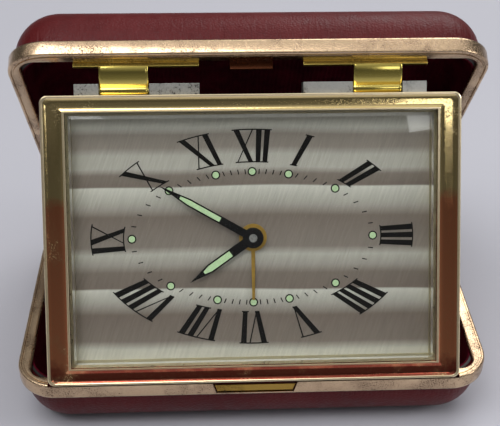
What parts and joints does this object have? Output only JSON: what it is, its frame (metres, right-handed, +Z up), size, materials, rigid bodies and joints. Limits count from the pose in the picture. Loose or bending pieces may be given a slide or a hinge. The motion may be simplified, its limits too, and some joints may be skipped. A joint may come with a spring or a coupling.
{
  "type": "folding travel alarm clock",
  "caption": "Folding travel alarm clock: a hinged leather-covered case stands open with a rectangular dial leaning between its lid and base.",
  "frame": {"origin": "centre of the flat underside of the base, on the table", "axes": "+X to the right along the clock, +Y to the rear hinge, +Z up"},
  "size_m": [0.108, 0.0873, 0.0845],
  "materials": {
    "leather": "fine-grained maroon leather",
    "shell_steel": "plain pressed steel",
    "velvet": "dark red ribbed velvet",
    "gilt_rim": "worn pale gilt brass",
    "gilt_bezel": "polished gold plate",
    "gold_strap": "bright gold plate",
    "steel": "plain bright steel",
    "blued_steel": "tempered spring steel",
    "crystal": "clear polished acrylic",
    "dial_silver": "satin silvered, brushed",
    "black_paint": "gloss black",
    "lume": "pale green luminous paint",
    "can_steel": "plated pressed steel",
    "movement_brass": "rolled brass",
    "gilt_knob": "gilt, fluted"
  },
  "bodies": {
    "base": {"base_leather": "leather", "base_shell": "shell_steel", "base_lining": "velvet", "base_rim": "gilt_rim", "base_hinge_leaf": "gilt_rim", "main_hinge_pin": "steel"},
    "catch": {"base_catch": "gilt_rim"},
    "lid": {"lid_leather": "leather", "lid_shell": "shell_steel", "lid_lining": "velvet", "lid_rim": "gilt_rim", "lid_hinge_leaf": "gilt_rim", "lid_tab": "gilt_rim", "hinge_straps": "gold_strap", "strap_rivets": "gold_strap"},
    "clock": {"hinge_brackets": "steel", "clock_hinge_pins": "steel", "bezel": "gilt_bezel", "crystal": "crystal", "dial_surround": "steel", "dial": "dial_silver", "numerals": "black_paint", "minute_track": "black_paint", "hour_dots": "lume", "dot_rings": "black_paint", "clock_can": "can_steel", "back_cover": "can_steel", "cover_screws": "steel", "front_plate": "movement_brass", "back_plate": "movement_brass", "plate_pillars": "movement_brass", "hairspring": "blued_steel", "hairspring_stud": "movement_brass"},
    "minute_work": {"minute_hand": "black_paint", "minute_hand_lume": "lume", "cannon_pinion": "movement_brass"},
    "hour_work": {"hour_hand": "black_paint", "hour_hand_lume": "lume", "hour_wheel": "movement_brass"},
    "alarm_work": {"alarm_hand": "gold_strap", "alarm_wheel": "movement_brass"},
    "time_set": {"time_set_knob": "gilt_knob"},
    "alarm_set": {"alarm_set_knob": "gilt_knob"},
    "time_key": {"time_winding_key": "gilt_knob"},
    "alarm_key": {"alarm_winding_key": "gilt_knob"},
    "going_barrel": {"time_barrel": "movement_brass", "time_mainspring": "blued_steel"},
    "centre": {"centre_wheel": "movement_brass"},
    "third": {"third_wheel": "movement_brass"},
    "fourth": {"fourth_wheel": "movement_brass"},
    "escape": {"escape_wheel": "movement_brass"},
    "pallets": {"pallet_lever": "steel"},
    "balance": {"balance_wheel": "movement_brass"},
    "alarm_drum": {"alarm_barrel": "movement_brass", "alarm_mainspring": "blued_steel"},
    "alarm_escape": {"alarm_escape_wheel": "movement_brass"},
    "hammer": {"alarm_hammer": "steel"},
    "going_click": {"time_click": "steel"},
    "ringing_click": {"alarm_click": "steel"},
    "alarm_stop": {"alarm_stop_button": "steel"}
  },
  "joints": [
    {"name": "lid_hinge", "type": "hinge", "parent": "base", "child": "lid", "pos_m": [0, 0.041, 0.01545], "axis": [-1, 0, 0], "range_deg": [0, 121.02]},
    {"name": "clock_hinge", "type": "hinge", "parent": "lid", "child": "clock", "pos_m": [0, -0.0047, 0.071], "axis": [1, 0, 0], "range_deg": [0, 63.83]},
    {"name": "catch_slide", "type": "slide", "parent": "base", "child": "catch", "axis": [0, 1, 0], "range_m": [0, 0.0005], "stiffness_N_per_m": 300, "springref_m": -0.0005},
    {"name": "time_set_spin", "type": "hinge", "parent": "clock", "child": "time_set", "pos_m": [0.0045, -0.02818, 0.0372], "axis": [0, -0.8845, 0.4666], "continuous": true},
    {"name": "minute_hand_spin", "type": "hinge", "parent": "clock", "child": "minute_work", "pos_m": [0, -0.02455, 0.0441], "axis": [0, -0.8845, 0.4666], "continuous": true},
    {"name": "hour_hand_spin", "type": "hinge", "parent": "clock", "child": "hour_work", "pos_m": [0, -0.02455, 0.0441], "axis": [0, -0.8845, 0.4666], "continuous": true},
    {"name": "alarm_set_spin", "type": "hinge", "parent": "clock", "child": "alarm_set", "pos_m": [-0.00779, -0.02244, 0.04808], "axis": [0, -0.8845, 0.4666], "continuous": true},
    {"name": "alarm_hand_spin", "type": "hinge", "parent": "clock", "child": "alarm_work", "pos_m": [0, -0.02455, 0.0441], "axis": [0, -0.8845, 0.4666], "continuous": true},
    {"name": "time_key_spin", "type": "hinge", "parent": "clock", "child": "time_key", "pos_m": [-0.00802, -0.02829, 0.03701], "axis": [0, -0.8845, 0.4666], "continuous": true},
    {"name": "alarm_key_spin", "type": "hinge", "parent": "clock", "child": "alarm_key", "pos_m": [-0.027, -0.02361, 0.04587], "axis": [0, -0.8845, 0.4666], "continuous": true},
    {"name": "fourth_spin", "type": "hinge", "parent": "clock", "child": "fourth", "pos_m": [0.01249, -0.01955, 0.05356], "axis": [0, -0.8845, 0.4666], "continuous": true},
    {"name": "third_spin", "type": "hinge", "parent": "clock", "child": "third", "pos_m": [0.0045, -0.02091, 0.05099], "axis": [0, -0.8845, 0.4666], "continuous": true},
    {"name": "centre_spin", "type": "hinge", "parent": "clock", "child": "centre", "pos_m": [0, -0.02455, 0.0441], "axis": [0, -0.8845, 0.4666], "continuous": true},
    {"name": "barrel_spin", "type": "hinge", "parent": "clock", "child": "going_barrel", "pos_m": [-0.00802, -0.02829, 0.03701], "axis": [0, -0.8845, 0.4666], "continuous": true},
    {"name": "escape_spin", "type": "hinge", "parent": "clock", "child": "escape", "pos_m": [0.01804, -0.02264, 0.04771], "axis": [0, -0.8845, 0.4666], "continuous": true},
    {"name": "pallet_rock", "type": "hinge", "parent": "clock", "child": "pallets", "pos_m": [0.02138, -0.0245, 0.04419], "axis": [0, -0.8845, 0.4666], "range_deg": [-6, 6]},
    {"name": "balance_swing", "type": "hinge", "parent": "clock", "child": "balance", "pos_m": [0.02382, -0.02874, 0.03615], "axis": [0, -0.8845, 0.4666], "range_deg": [-135, 135], "stiffness_Nm_per_rad": 0.0000036},
    {"name": "alarm_barrel_spin", "type": "hinge", "parent": "clock", "child": "alarm_drum", "pos_m": [-0.027, -0.02361, 0.04587], "axis": [0, -0.8845, 0.4666], "continuous": true},
    {"name": "alarm_escape_spin", "type": "hinge", "parent": "clock", "child": "alarm_escape", "pos_m": [-0.0219, -0.01949, 0.05368], "axis": [0, -0.8845, 0.4666], "continuous": true},
    {"name": "hammer_rock", "type": "hinge", "parent": "clock", "child": "hammer", "pos_m": [-0.01813, -0.01826, 0.05601], "axis": [0, -0.8845, 0.4666], "range_deg": [-6, 5]},
    {"name": "going_click_rock", "type": "hinge", "parent": "clock", "child": "going_click", "pos_m": [-0.00991, -0.0307, 0.03242], "axis": [0, -0.8845, 0.4666], "range_deg": [0, 15], "stiffness_Nm_per_rad": 0.0002, "springref_deg": -5.73},
    {"name": "ringing_click_rock", "type": "hinge", "parent": "clock", "child": "ringing_click", "pos_m": [-0.02889, -0.02603, 0.04128], "axis": [0, -0.8845, 0.4666], "range_deg": [0, 15], "stiffness_Nm_per_rad": 0.0002, "springref_deg": -5.73},
    {"name": "alarm_stop_slide", "type": "slide", "parent": "clock", "child": "alarm_stop", "axis": [1, 0, 0], "range_m": [0, 0.004]}
  ],
  "couplings": [
    {"joint": "minute_hand_spin", "follows": "time_set_spin", "ratio": -3},
    {"joint": "hour_hand_spin", "follows": "time_set_spin", "ratio": -0.25},
    {"joint": "alarm_hand_spin", "follows": "alarm_set_spin", "ratio": -0.33333},
    {"joint": "third_spin", "follows": "fourth_spin", "ratio": -0.13333},
    {"joint": "centre_spin", "follows": "fourth_spin", "ratio": 0.016667},
    {"joint": "barrel_spin", "follows": "fourth_spin", "ratio": -0.0027778},
    {"joint": "escape_spin", "follows": "fourth_spin", "ratio": -8},
    {"joint": "alarm_escape_spin", "follows": "alarm_barrel_spin", "ratio": -7.5}
  ]
}
